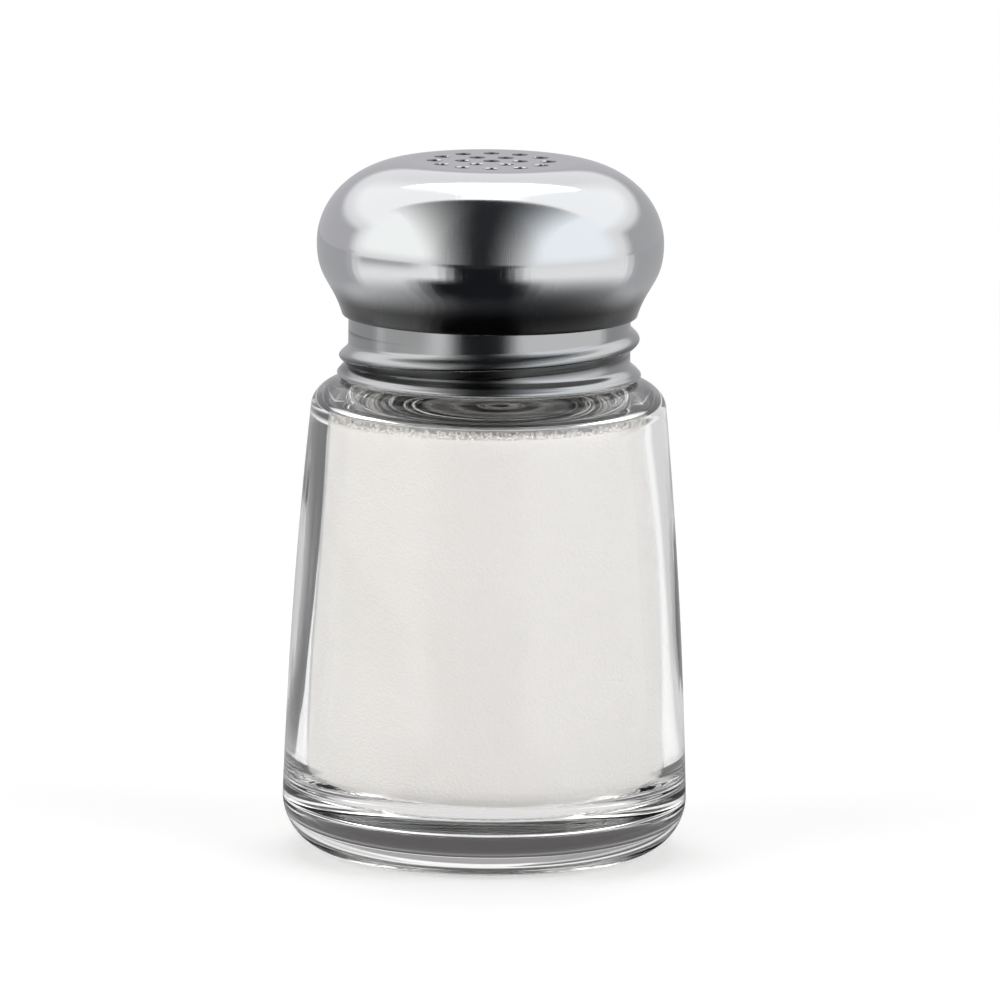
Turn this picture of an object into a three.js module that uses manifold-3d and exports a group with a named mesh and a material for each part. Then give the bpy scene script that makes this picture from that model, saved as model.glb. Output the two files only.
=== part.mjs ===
// Glass table shaker with a screw-on metal mushroom cap, filled with salt.
// Millimetres, +Z up. The origin is the centre of the ring that the jar stands on.
// The cap is two pressed pieces: a perforated dome, and a threaded skirt that the dome's lip is
// clinched under. The skirt's rolled thread follows the moulded thread of the glass neck.

import * as THREE from "three";
import { mergeVertices } from "three/addons/utils/BufferGeometryUtils.js";
import Module from "manifold-3d";

const wasm = await Module();
wasm.setup();

// Clearance between pieces that touch on the real shaker
const fitGap = 0.3;

// Glass neck, which everything else is set out from
const neckRadius = 14.8;
const neckWall = 2.7;
const neckFoot = 0.5; // fillet where the neck stands on the shoulder
const lipRound = 0.9;

// Moulded thread: one start, six turns to the inch
const threadPitch = 4.233;
const threadHeight = 1;
const threadHalfWidth = 1.05;
const threadRise = 4.6; // centre of the thread above the shoulder, on the +X side
const threadStartShare = -0.72; // where it begins and ends, in turns from the +X side
const threadEndShare = 0.1;
const threadFadeShare = 0.08;

// Glass body
const bodyHeight = 52.4; // foot to where the shoulder meets the neck
const shoulderLedge = 4.75; // how far the shoulder stands out from the neck
const shoulderRound = 3.3;
const bodyFlare = 2.7; // how much wider the wall is at the heel than at the shoulder
const bodyBow = 0.38; // how far the wall bows out of a straight taper
const heelRound = 6.1;
const footWidth = 3;
const puntDepth = 0.9;
const bodyWall = 2.2;
const floorThickness = 6.4;
const floorRound = 3.6;
const floorCrown = 0.5;

// Salt
const saltDrop = 0.7; // its level below the spring of the shoulder
const saltHeap = 0.5;

// Pressed metal of the cap
const sheet = 0.4;

// Threaded skirt
const skirtShown = 6.8; // from its lower edge to the dome's lip
const skirtFlare = 1.1; // height of the wide mouth that the glass thread enters by
const rollHalfWidth = 1.35; // rolled thread, a little wider than the moulded one
const rollEndShare = 0.21;
const rollFadeShare = 0.125;
const clinchRise = 1.2; // bead that the dome hooks under, above the lip
const clinchHalfWidth = 0.7;
const clinchHeight = 0.5;
const landRise = 3.5; // sealing land above the lip
const landWidth = 2.2;
const landRound = 0.8;

// Sealing washer between the glass rim and the land
const washerThickness = 1;
const washerWidth = 2.3;

// Dome
const domeOverhang = 2.85; // how far the belly stands out past the lip
const domeUnder = 8; // lip to belly
const domeCrown = 9; // belly to flat top
const domeFlatRadius = 8.7;
const underCurveShares = [
  [1, 0.49],
  [0.4, 0.48],
];
const holeRadius = 0.85;
const holeRingStep = 3.1;
const holeRings = 2; // rings of six and of twelve, round a hole in the middle
const holesPerRing = 6;

// How finely the curves are cut
const roundSteps = 44;
const threadStep = 0.56;
const cutOverrun = 1;
const weldDistance = 0.0001;

// Radii and heights that follow
const bodyTopRadius = neckRadius + shoulderLedge;
const bodyFootRadius = bodyTopRadius + bodyFlare;
const wallTop = bodyHeight - shoulderRound;
const boreRadius = neckRadius - neckWall;
const skirtInner = neckRadius + fitGap;
const skirtOuter = skirtInner + sheet;
const skirtBottom = bodyHeight + fitGap;
const lipBottom = skirtBottom + skirtShown;
const lipOuter = skirtOuter + fitGap + sheet;
const domeRadius = lipOuter + domeOverhang;
const bellyHeight = lipBottom + domeUnder;
const domeTop = bellyHeight + domeCrown;
const landUnderside = lipBottom + landRise;
const washerTop = landUnderside - fitGap;
const rimHeight = washerTop - washerThickness - fitGap;
const saltTop = wallTop - saltDrop;

const glass = new THREE.MeshStandardMaterial({
  color: 0xe9eeee,
  roughness: 0.03,
  metalness: 0,
  transparent: true,
  opacity: 0.35,
});
const chrome = new THREE.MeshStandardMaterial({
  color: 0xc9cccf,
  roughness: 0.08,
  metalness: 1,
});
const salt = new THREE.MeshStandardMaterial({
  color: 0xece9e5,
  roughness: 0.85,
  metalness: 0,
});
const whitePlastic = new THREE.MeshStandardMaterial({
  color: 0xe6e6e2,
  roughness: 0.5,
  metalness: 0,
});

// Part of an ellipse, from angle `from` to angle `to`, in degrees from the +radius direction.
function arc(centreRadius, centreHeight, acrossRadius, upRadius, from, to, steps) {
  const points = [];
  for (let i = 0; i <= steps; i++) {
    const angle = THREE.MathUtils.degToRad(THREE.MathUtils.lerp(from, to, i / steps));
    points.push([
      centreRadius + acrossRadius * Math.cos(angle),
      centreHeight + upRadius * Math.sin(angle),
    ]);
  }
  return points;
}

// Rises smoothly from 0 to 1 as x goes from 0 to 1.
function ease(x) {
  const t = THREE.MathUtils.clamp(x, 0, 1);
  return t * t * (3 - 2 * t);
}

// A rounded ridge: 1 on its middle, 0 from halfWidth away.
function ridge(away, halfWidth) {
  if (Math.abs(away) >= halfWidth) return 0;
  return (1 + Math.cos((Math.PI * away) / halfWidth)) / 2;
}

// How much of a helical ridge's height is reached at an angle, in radians from +X, and a height.
// It runs from start to end, in turns from +X, and fades out at its upper end and, if fadesIn, its lower.
function helixShare(angle, height, halfWidth, start, end, fade, fadesIn) {
  let share = 0;
  const firstTurn = angle / (2 * Math.PI);
  for (let turns = firstTurn + Math.ceil(start - firstTurn); turns <= end; turns++) {
    const centre = bodyHeight + threadRise + threadPitch * turns;
    const left = fadesIn ? Math.min(turns - start, end - turns) : end - turns;
    share = Math.max(share, ease(left / fade) * ridge(height - centre, halfWidth));
  }
  return share;
}

// Revolves an outline of [radius, height] pairs about Z. moved(radius, height, angle, index)
// may give a vertex another radius and height.
function turned(outline, moved) {
  const points = outline.map(([radius, height]) => new THREE.Vector2(radius, height));
  const geometry = new THREE.LatheGeometry(points, roundSteps);
  geometry.rotateX(Math.PI / 2);
  if (moved) {
    const position = geometry.getAttribute("position");
    for (let i = 0; i < position.count; i++) {
      const [radius, height] = outline[i % outline.length];
      const angle = Math.atan2(position.getY(i), position.getX(i));
      const [newRadius, newHeight] = moved(radius, height, angle, i % outline.length);
      position.setXYZ(i, newRadius * Math.cos(angle), newRadius * Math.sin(angle), newHeight);
    }
    geometry.computeVertexNormals();
  }
  return geometry;
}

// Gives pressed sheet its thickness: the outer line, and back along the same line moved inwards.
function pressed(outer, thickness) {
  const inner = outer.map(([radius, height], i) => {
    const [fromRadius, fromHeight] = outer[Math.max(i - 1, 0)];
    const [toRadius, toHeight] = outer[Math.min(i + 1, outer.length - 1)];
    const length = Math.hypot(toRadius - fromRadius, toHeight - fromHeight);
    return [
      radius + ((toHeight - fromHeight) / length) * thickness,
      height - ((toRadius - fromRadius) / length) * thickness,
    ];
  });
  return [outer, inner.reverse()];
}

function wallRadius(height) {
  const share = (height - heelRound) / (wallTop - heelRound);
  const taper = THREE.MathUtils.lerp(bodyFootRadius, bodyTopRadius, share);
  return taper + 4 * bodyBow * share * (1 - share);
}

function wallPoints(from, to, inset, steps) {
  const points = [];
  for (let i = 0; i <= steps; i++) {
    const height = THREE.MathUtils.lerp(from, to, i / steps);
    points.push([wallRadius(height) - inset, height]);
  }
  return points;
}

// The inside of the glass floor: crowned in the middle, rounded up into the wall, from the axis out.
function floorPoints(inset, steps) {
  const cornerHeight = floorThickness + floorRound;
  const cornerRadius = wallRadius(cornerHeight) - bodyWall - floorRound;
  const points = [];
  for (let i = 0; i < steps; i++) {
    const share = i / steps;
    points.push([
      share * cornerRadius,
      floorThickness + floorCrown * (1 - share * share) + inset,
    ]);
  }
  const round = floorRound - inset;
  return [...points, ...arc(cornerRadius, cornerHeight, round, round, -90, 0, 6)];
}

function evenHeights(from, to, radius, step) {
  const count = Math.max(1, Math.round((to - from) / step));
  return Array.from({ length: count + 1 }, (_, i) => [
    radius,
    THREE.MathUtils.lerp(from, to, i / count),
  ]);
}

function glassJar() {
  const footOuter = bodyFootRadius - heelRound;
  const footInner = footOuter - footWidth;
  const punt = [];
  const puntSteps = 4;
  for (let i = 0; i < puntSteps; i++) {
    const share = i / puntSteps;
    punt.push([share * footInner, puntDepth * (1 - share * share)]);
  }
  const neckBottom = bodyHeight + neckFoot;
  const neckFootRadius = neckRadius + neckFoot;
  const shoulderAcross = bodyTopRadius - neckFootRadius;
  const neck = evenHeights(neckBottom, rimHeight - lipRound, neckRadius, threadStep);
  const insideRadius = bodyTopRadius - bodyWall;
  const outline = [
    ...punt,
    [footInner, 0],
    ...arc(footOuter, heelRound, heelRound, heelRound, -90, 0, 5),
    ...wallPoints(heelRound, wallTop, 0, 7).slice(1),
    ...arc(neckFootRadius, wallTop, shoulderAcross, shoulderRound, 0, 90, 6).slice(1),
    ...arc(neckFootRadius, neckBottom, neckFoot, neckFoot, -90, -180, 2).slice(1),
  ];
  const firstOfThread = outline.length;
  outline.push(...neck.slice(1));
  const lastOfThread = outline.length;
  outline.push(
    ...arc(neckRadius - lipRound, rimHeight - lipRound, lipRound, lipRound, 0, 90, 4).slice(1),
    ...arc(boreRadius + lipRound, rimHeight - lipRound, lipRound, lipRound, 90, 180, 4),
    ...arc(boreRadius, wallTop, insideRadius - boreRadius, shoulderRound - bodyWall, 90, 0, 5).map(
      ([radius, height], i) => (i === 0 ? [radius, height + neckFoot] : [radius, height]),
    ),
    ...wallPoints(wallTop, floorThickness + floorRound, bodyWall, 4).slice(1),
    ...floorPoints(0, 3).reverse().slice(1),
  );
  return turned(outline, (radius, height, angle, index) => {
    if (index < firstOfThread || index >= lastOfThread) return [radius, height];
    const share = helixShare(
      angle,
      height,
      threadHalfWidth,
      threadStartShare,
      threadEndShare,
      threadFadeShare,
      true,
    );
    return [radius + threadHeight * share, height];
  });
}

function saltFill() {
  const slope = [];
  const slopeSteps = 4;
  const edge = wallRadius(saltTop) - bodyWall - fitGap;
  for (let i = 1; i <= slopeSteps; i++) slope.push([edge * (1 - i / slopeSteps), saltTop]);
  const outline = [
    ...floorPoints(fitGap, 3),
    ...wallPoints(floorThickness + floorRound, saltTop, bodyWall + fitGap, 3).slice(1),
    ...slope,
  ];
  const firstOnTop = outline.length - slopeSteps - 1;
  return turned(outline, (radius, height, angle, index) => {
    if (index < firstOnTop) return [radius, height];
    const share = radius / edge;
    const lean = share * Math.cos(angle - 1);
    const hollows = share * (1 - share) * Math.cos(3 * angle);
    return [radius, height + saltHeap * ((1 - share * share) / 2 + lean / 2 + hollows)];
  });
}

function sealWasher() {
  const outer = skirtInner - fitGap;
  const inner = outer - washerWidth;
  const bottom = washerTop - washerThickness;
  return turned([
    [inner, bottom],
    [outer, bottom],
    [outer, washerTop],
    [inner, washerTop],
    [inner, bottom],
  ]);
}

// Pressed skirt: a land that turns in over the washer, the clinch bead, and the rolled thread.
function threadedSkirt() {
  const landTop = landUnderside + sheet;
  const clinchCentre = lipBottom + clinchRise;
  const threadTop = clinchCentre - clinchHalfWidth;
  const outer = [
    [skirtInner - landWidth, landTop],
    ...arc(skirtOuter - landRound, landTop - landRound, landRound, landRound, 90, 0, 3),
    ...evenHeights(threadTop, clinchCentre + clinchHalfWidth, skirtOuter, threadStep).reverse(),
    ...evenHeights(skirtBottom, threadTop, skirtOuter, threadStep).reverse().slice(1),
  ];
  const [outside, inside] = pressed(outer, sheet);
  const outline = [...outside, ...inside, outside[0]];
  return turned(outline.reverse(), (radius, height, angle, index) => {
    if (height > landUnderside - landRound) return [radius, height];
    const roll = helixShare(
      angle,
      height,
      rollHalfWidth,
      threadStartShare - 1,
      rollEndShare,
      rollFadeShare,
      false,
    );
    const flare = 1 - ease((height - skirtBottom - skirtFlare / 2) / skirtFlare);
    const clinch = clinchHeight * ridge(height - clinchCentre, clinchHalfWidth);
    return [radius + threadHeight * Math.max(roll, flare) + clinch, height];
  });
}

function solidOf(geometry) {
  const bare = geometry.clone();
  bare.deleteAttribute("normal");
  bare.deleteAttribute("uv");
  const merged = mergeVertices(bare, weldDistance);
  const mesh = new wasm.Mesh({
    numProp: 3,
    vertProperties: merged.getAttribute("position").array,
    triVerts: new Uint32Array(merged.index.array),
  });
  return new wasm.Manifold(mesh);
}

function geometryOf(solid) {
  const mesh = solid.getMesh();
  const geometry = new THREE.BufferGeometry();
  geometry.setAttribute("position", new THREE.BufferAttribute(mesh.vertProperties, mesh.numProp));
  geometry.setIndex(new THREE.BufferAttribute(mesh.triVerts, 1));
  geometry.computeVertexNormals();
  return geometry;
}

// Centres of the sprinkle holes: one in the middle, then rings of six, twelve and so on.
function holeCentres() {
  const centres = [[0, 0]];
  for (let ring = 1; ring <= holeRings; ring++) {
    const count = holesPerRing * ring;
    for (let i = 0; i < count; i++) {
      const angle = (2 * Math.PI * i) / count;
      centres.push([
        holeRingStep * ring * Math.cos(angle),
        holeRingStep * ring * Math.sin(angle),
      ]);
    }
  }
  return centres;
}

function perforatedDome() {
  const under = new THREE.CubicBezierCurve(
    new THREE.Vector2(domeRadius, bellyHeight),
    ...underCurveShares.map(
      ([outShare, upShare]) =>
        new THREE.Vector2(lipOuter + outShare * domeOverhang, lipBottom + upShare * domeUnder),
    ),
    new THREE.Vector2(lipOuter, lipBottom),
  );
  const outer = [
    [0, domeTop],
    ...arc(domeFlatRadius, bellyHeight, domeRadius - domeFlatRadius, domeCrown, 90, 0, 8),
    ...under.getPoints(6).slice(1).map(({ x, y }) => [x, y]),
  ];
  const [outside, inside] = pressed(outer, sheet);
  let dome = solidOf(turned([...outside, ...inside].reverse()));
  const drillLength = sheet + 2 * cutOverrun;
  const drill = new THREE.CylinderGeometry(holeRadius, holeRadius, drillLength, 10);
  drill.rotateX(Math.PI / 2);
  for (const [x, y] of holeCentres()) {
    const cutter = drill.clone().translate(x, y, domeTop - sheet / 2);
    dome = dome.subtract(solidOf(cutter));
  }
  return geometryOf(dome);
}

function piece(name, geometry, material) {
  const mesh = new THREE.Mesh(geometry, material);
  mesh.name = name;
  return mesh;
}

const jar = new THREE.Group();
jar.add(piece("glass_jar", glassJar(), glass));
jar.add(piece("salt_fill", saltFill(), salt));

const cap = new THREE.Group();
cap.add(piece("seal_washer", sealWasher(), whitePlastic));
cap.add(piece("threaded_skirt", threadedSkirt(), chrome));
cap.add(piece("perforated_dome", perforatedDome(), chrome));

const shaker = new THREE.Group();
shaker.add(jar, cap);

export default shaker;
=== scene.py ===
# %% [markdown]
# # A glass salt shaker with a chromed mushroom cap
#
# This lesson dresses a small table shaker: a clear moulded jar full of salt, and a pressed cap that screws
# onto it. The shapes of such an object are nearly all turned, so most pieces here come from one helper
# that spins an outline about the Z axis. What makes the shaker look real is the glass, the air between
# the glass and the salt, and what the chrome has to reflect.
#
# The CAD frame comes first. It fixes where everything is, and nothing in it is moved.

import math

import bmesh
import bpy
import numpy as np
from mathutils import Euler, Matrix, Vector


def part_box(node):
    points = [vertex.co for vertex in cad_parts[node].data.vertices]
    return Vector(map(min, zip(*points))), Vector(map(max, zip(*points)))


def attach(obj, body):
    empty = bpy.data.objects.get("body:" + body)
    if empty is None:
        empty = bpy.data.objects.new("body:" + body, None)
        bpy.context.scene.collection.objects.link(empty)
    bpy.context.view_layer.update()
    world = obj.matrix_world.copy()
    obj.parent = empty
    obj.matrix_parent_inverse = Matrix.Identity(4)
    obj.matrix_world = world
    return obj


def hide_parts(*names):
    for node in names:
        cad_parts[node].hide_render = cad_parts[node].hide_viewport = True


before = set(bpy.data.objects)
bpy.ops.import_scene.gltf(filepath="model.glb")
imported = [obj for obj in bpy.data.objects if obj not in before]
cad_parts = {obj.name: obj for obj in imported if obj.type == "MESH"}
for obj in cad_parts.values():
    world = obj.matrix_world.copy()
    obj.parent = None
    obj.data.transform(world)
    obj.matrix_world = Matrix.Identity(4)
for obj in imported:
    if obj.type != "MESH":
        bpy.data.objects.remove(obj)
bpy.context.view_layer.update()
mm = 0.001

# %% [markdown]
# The finer meshes have to sit exactly where the CAD pieces sit, so their main sizes are read back from
# the boxes of those pieces. A few sizes can't be read from a box, such as the wall of the glass or the
# pitch of the thread, and these are written down once, in millimetres.

# %% Main sizes
fit_gap = 0.3 * mm
sheet = 0.4 * mm
body_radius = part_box("glass_jar")[1].x
rim_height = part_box("glass_jar")[1].z
neck_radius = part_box("seal_washer")[1].x
skirt_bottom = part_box("threaded_skirt")[0].z
land_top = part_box("threaded_skirt")[1].z
lip_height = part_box("perforated_dome")[0].z
dome_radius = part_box("perforated_dome")[1].x
dome_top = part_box("perforated_dome")[1].z
shoulder_height = skirt_bottom - fit_gap
skirt_radius = neck_radius + fit_gap + sheet
main_radii = [round(r / mm, 2) for r in (neck_radius, dome_radius, body_radius)]
print("neck, dome and body radius in mm:", main_radii)

# %% [markdown]
# ## The camera
#
# The picture was taken from a little above the shaker, from far enough away that the sides barely
# converge, and with the camera very slightly rolled. A long lens does that. The distance and the size of
# a millimetre in the picture give the focal length, because the image is taken to be 1000 pixels wide.

# %% Camera
picture_size = 1000
pixels_per_mm = 9.09
axis_column = 487.5
middle_row = 505.0
camera_elevation = math.radians(9.2)
camera_roll = math.radians(0.65)
camera_distance = 1.5
aim_height = 0.0383

camera_data = bpy.data.cameras.new("photo_camera")
camera = bpy.data.objects.new("photo_camera", camera_data)
bpy.context.scene.collection.objects.link(camera)
bpy.context.scene.camera = camera
towards_camera = Vector((0, -math.cos(camera_elevation), math.sin(camera_elevation)))
camera.location = Vector((0, 0, aim_height)) + towards_camera * camera_distance
turn = (-towards_camera).to_track_quat("-Z", "Y").to_matrix().to_4x4()
camera.matrix_world = Matrix.Translation(camera.location) @ turn @ Matrix.Rotation(camera_roll, 4, "Z")
camera_data.sensor_width = 36
camera_data.lens = camera_data.sensor_width * pixels_per_mm * camera_distance / mm / picture_size
camera_data.shift_x = (picture_size / 2 - axis_column) / picture_size
camera_data.shift_y = (middle_row - picture_size / 2) / picture_size
camera_data.clip_start = 0.01
camera_data.clip_end = 50
print("focal length in mm:", round(camera_data.lens, 1))

# %% [markdown]
# ## The studio
#
# The shaker stands on a pale floor that fades into a white background. The floor is a plain diffuse
# surface, so it takes the soft shadow of the glass. What the lamps leave short of white is added as a
# little emission, but only for rays that come from the camera, from metal or out of glass. Light that
# falls on the object is not changed by that.

# %% Floor and background
def new_material(name):
    material = bpy.data.materials.new(name)
    material.use_nodes = True
    material.node_tree.nodes.clear()
    return material


def add_node(tree, kind, values=None, **settings):
    """Adds a node, makes its settings, and feeds its sockets with values or with other sockets."""
    made = tree.nodes.new(kind)
    for key, value in settings.items():
        setattr(made, key, value)
    for key, value in (values or {}).items():
        if isinstance(value, bpy.types.NodeSocket):
            tree.links.new(value, made.inputs[key])
        else:
            made.inputs[key].default_value = value
    return made


def calculate(tree, operation, *values):
    """What comes out of a math node that is fed with these values."""
    return add_node(tree, "ShaderNodeMath", dict(enumerate(values)), operation=operation).outputs[0]


def ramp(tree, value, start, end, low=0.0, high=1.0, kind="SMOOTHSTEP"):
    """Turns what runs from start to end into what runs from low to high."""
    run = {"Value": value, "From Min": start, "From Max": end, "To Min": low, "To Max": high}
    return add_node(tree, "ShaderNodeMapRange", run, interpolation_type=kind).outputs["Result"]


def distance_out(tree):
    """How far a point is from the origin of its own object."""
    place = add_node(tree, "ShaderNodeTexCoord").outputs["Object"]
    return add_node(tree, "ShaderNodeVectorMath", {0: place}, operation="LENGTH").outputs["Value"]


def axes_in(tree, space):
    """The X, Y and Z of a point, in one of the spaces of the texture coordinates."""
    place = add_node(tree, "ShaderNodeTexCoord").outputs[space]
    return add_node(tree, "ShaderNodeSeparateXYZ", {0: place}).outputs


def show_to_eye_and_gloss(tree):
    """1 for rays from the camera, off metal or out of glass, and 0 for the rays that carry light."""
    path = add_node(tree, "ShaderNodeLightPath").outputs
    first = calculate(tree, "MAXIMUM", path["Is Camera Ray"], path["Is Glossy Ray"])
    return calculate(tree, "MAXIMUM", first, path["Is Transmission Ray"])


floor_colour = (0.86, 0.86, 0.86, 1)
floor_lift = 0.3
floor_white_from = 0.1
floor_white_at = 0.45
floor_size = 8.0
floor_gap = 0.02 * mm

floor_material = new_material("pale_floor")
tree = floor_material.node_tree
seen = show_to_eye_and_gloss(tree)
diffuse = add_node(tree, "ShaderNodeBsdfDiffuse", {"Color": floor_colour})
near_glow = add_node(tree, "ShaderNodeEmission", {"Strength": calculate(tree, "MULTIPLY", seen, floor_lift)})
near = add_node(tree, "ShaderNodeAddShader", {0: diffuse.outputs[0], 1: near_glow.outputs[0]})
far_white = add_node(tree, "ShaderNodeEmission")
whiteness = ramp(tree, distance_out(tree), floor_white_from, floor_white_at, kind="LINEAR")
far = calculate(tree, "MULTIPLY", whiteness, seen)
mix = add_node(tree, "ShaderNodeMixShader", {0: far, 1: near.outputs[0], 2: far_white.outputs[0]})
add_node(tree, "ShaderNodeOutputMaterial", {"Surface": mix.outputs[0]})

bpy.ops.mesh.primitive_plane_add(size=floor_size, location=(0, 0, -floor_gap))
floor = bpy.context.object
floor.name = "floor"
floor.data.materials.append(floor_material)

world_light = 0.42
world = bpy.data.worlds.new("white_studio")
bpy.context.scene.world = world
world.use_nodes = True
tree = world.node_tree
tree.nodes.clear()
level = ramp(tree, show_to_eye_and_gloss(tree), 0.0, 1.0, world_light, 1.0, "LINEAR")
background = add_node(tree, "ShaderNodeBackground", {"Color": (1, 1, 1, 1), "Strength": level})
add_node(tree, "ShaderNodeOutputWorld", {"Surface": background.outputs[0]})
bpy.context.scene.view_settings.view_transform = "Standard"

# Light turns about many times inside solid glass before it comes out.
bpy.context.scene.cycles.max_bounces = 24
bpy.context.scene.cycles.glossy_bounces = 12
bpy.context.scene.cycles.transmission_bounces = 20
print("the floor fades to white between", floor_white_from, "and", floor_white_at, "m from the shaker")

# %% [markdown]
# ## Lamps and boards
#
# Chrome has no colour of its own worth speaking of: it shows the room. A photographer puts a large soft
# light on each side of it and keeps the middle dark, so that a bright form has a dark core and an edge.
# Here the lamps only light things. What chrome and glass mirror is a set of boards that give off plain
# light: white cards, grey curtains low at the back, and dark flags. The camera doesn't see the boards,
# and they neither light nor shade the floor.
#
# Clear glass also shows what is behind it, and that is where its dark and bright lines come from. So a
# second set of boards is met only by light that has passed through glass. Its fills light the salt from
# the front and the back without bleaching the chrome. Its flags darken the walls and the thick foot.
#
# Directions are given round the shaker: the bearing is 0 towards the camera and grows towards the right.

# %% Lamps
def facing(bearing, elevation, distance):
    """A place round the shaker, and the turn that makes something there face it."""
    flat = distance * math.cos(math.radians(elevation))
    place = Vector(
        (
            flat * math.sin(math.radians(bearing)),
            -flat * math.cos(math.radians(bearing)),
            aim_height + distance * math.sin(math.radians(elevation)),
        )
    )
    turn = (Vector((0, 0, aim_height)) - place).to_track_quat("-Z", "Y")
    return place, turn


def soft_light(name, bearing, elevation, distance, width, tall, power, mirrored):
    """A rectangular lamp. When it isn't mirrored, chrome and glass show the card near it instead."""
    data = bpy.data.lights.new(name, "AREA")
    data.shape = "RECTANGLE"
    data.size, data.size_y = width, tall
    data.energy = power
    lamp = bpy.data.objects.new(name, data)
    bpy.context.scene.collection.objects.link(lamp)
    place, turn = facing(bearing, elevation, distance)
    lamp.location = place
    lamp.rotation_mode = "QUATERNION"
    lamp.rotation_quaternion = turn
    lamp.visible_glossy = mirrored
    lamp.visible_transmission = mirrored
    print(name, "has", power, "watts")


# Columns: name, bearing, elevation, distance, width, height, power, mirrored.
soft_light("left_softbox", -62, 22, 0.8, 0.8, 0.75, 3.2, False)
soft_light("right_softbox", 60, 22, 0.8, 0.75, 0.75, 3.0, False)
soft_light("top_softbox", 180, 66, 0.9, 0.7, 0.5, 2.0, True)

# %% [markdown]
# A lamp could be the card that is mirrored too, but a lamp has hard edges and chrome shows them. A board
# here is a sheet whose light fades to clear at its sides, over a share that is chosen for each board.
# Boards hang as curtains round the shaker, arch over it, or lie on the floor a hair below one another.

# %% Board helpers
def soft_edge(tree, share, soft):
    """1 across the middle of a board and 0 at its edges, from a share that runs from 0 to 1."""
    away = calculate(tree, "ABSOLUTE", calculate(tree, "SUBTRACT", share, 0.5))
    return ramp(tree, away, 0.5, 0.5 - soft)


def cover_material(name, light, make_cover):
    """Plain light of one colour, laid over what is behind as far as the cover says."""
    material = new_material(name)
    tree = material.node_tree
    clear = add_node(tree, "ShaderNodeBsdfTransparent").outputs[0]
    paint = add_node(tree, "ShaderNodeEmission", {"Color": (*light, 1)}).outputs[0]
    mix = add_node(tree, "ShaderNodeMixShader", {0: make_cover(tree), 1: clear, 2: paint})
    add_node(tree, "ShaderNodeOutputMaterial", {"Surface": mix.outputs[0]})
    return material


boards = []


def stand(name, mesh, through):
    """Puts a board in the studio, to be mirrored or else to be seen through glass."""
    made = bpy.data.objects.new(name, mesh)
    bpy.context.scene.collection.objects.link(made)
    made.visible_camera = False
    made.visible_diffuse = False
    made.visible_shadow = False
    made.visible_glossy = not through
    made.visible_transmission = through
    boards.append(made)
    return made


def board(name, corners, light, soft_across, soft_along, through=False):
    """A board through pairs of corners. It fades out over a share of its width and of its length."""
    mesh = bpy.data.meshes.new(name)
    mesh.from_pydata(corners, [], [(i, i + 1, i + 3, i + 2) for i in range(0, len(corners) - 2, 2)])
    spread = mesh.uv_layers.new(name="spread")
    for loop in mesh.loops:
        pair, side = divmod(loop.vertex_index, 2)
        spread.data[loop.index].uv = (side, pair / (len(corners) / 2 - 1))

    def cover(tree):
        axes = axes_in(tree, "UV")
        across = soft_edge(tree, axes["X"], soft_across)
        return calculate(tree, "MULTIPLY", across, soft_edge(tree, axes["Y"], soft_along))

    mesh.materials.append(cover_material(name, light, cover))
    stand(name, mesh, through)


def floor_disc(name, x, y, radius, light, lift, steps=64):
    """A round patch on the floor that is whole at its middle and fades out to its rim."""
    rim = [2 * math.pi * i / steps for i in range(steps)]
    points = [(0, 0, 0)] + [(radius * math.cos(a), radius * math.sin(a), 0) for a in rim]
    mesh = bpy.data.meshes.new(name)
    mesh.from_pydata(points, [], [(0, i + 1, (i + 1) % steps + 1) for i in range(steps)])

    def cover(tree):
        return ramp(tree, distance_out(tree), radius, 0.0)

    mesh.materials.append(cover_material(name, light, cover))
    stand(name, mesh, False).location = (x, y, lift)


def arch(bearing, half_width, low, high, distance, flare, steps=16):
    """Corners of a board at one bearing that curves over the shaker and widens towards its top."""
    turn = math.radians(bearing)
    across = Vector((math.cos(turn), math.sin(turn), 0)) * half_width
    corners = []
    for i in range(steps + 1):
        share = i / steps
        place, _ = facing(bearing, low + (high - low) * share, distance)
        reach = across * (1 + (flare - 1) * share)
        corners += [place - reach, place + reach]
    return corners


def curtain(start, end, low, high, distance, steps=16):
    """Corners of a wall round the shaker, between two bearings and two elevations."""
    corners = []
    for i in range(steps + 1):
        for elevation in (low, high):
            corners.append(facing(start + (end - start) * i / steps, elevation, distance)[0])
    return corners


def floor_patch(start, end, near, far, lift, steps):
    """Corners of part of a ring on the floor, between two bearings."""
    corners = []
    for i in range(steps + 1):
        turn = math.radians(start + (end - start) * i / steps)
        for reach in (near, far):
            corners.append(Vector((reach * math.sin(turn), -reach * math.cos(turn), lift)))
    return corners


def hang(rows, through):
    """Rows of: name, two bearings, two elevations, distance, light, softness across and along."""
    for name, start, end, low, high, distance, light, across, along in rows:
        board(name, curtain(start, end, low, high, distance), light, across, along, through)


def lay(rows, through):
    """Rows of: name, two bearings, two radii, lift, steps, light, softness across and along."""
    for name, start, end, near, far, lift, steps, light, across, along in rows:
        board(name, floor_patch(start, end, near, far, lift, steps), light, across, along, through)


# %% [markdown]
# The dark column down the middle of the dome is one arch that runs from below the shaker to just past
# its top. It hangs nearer than the cards, so that no card cuts into its sides.

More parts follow.
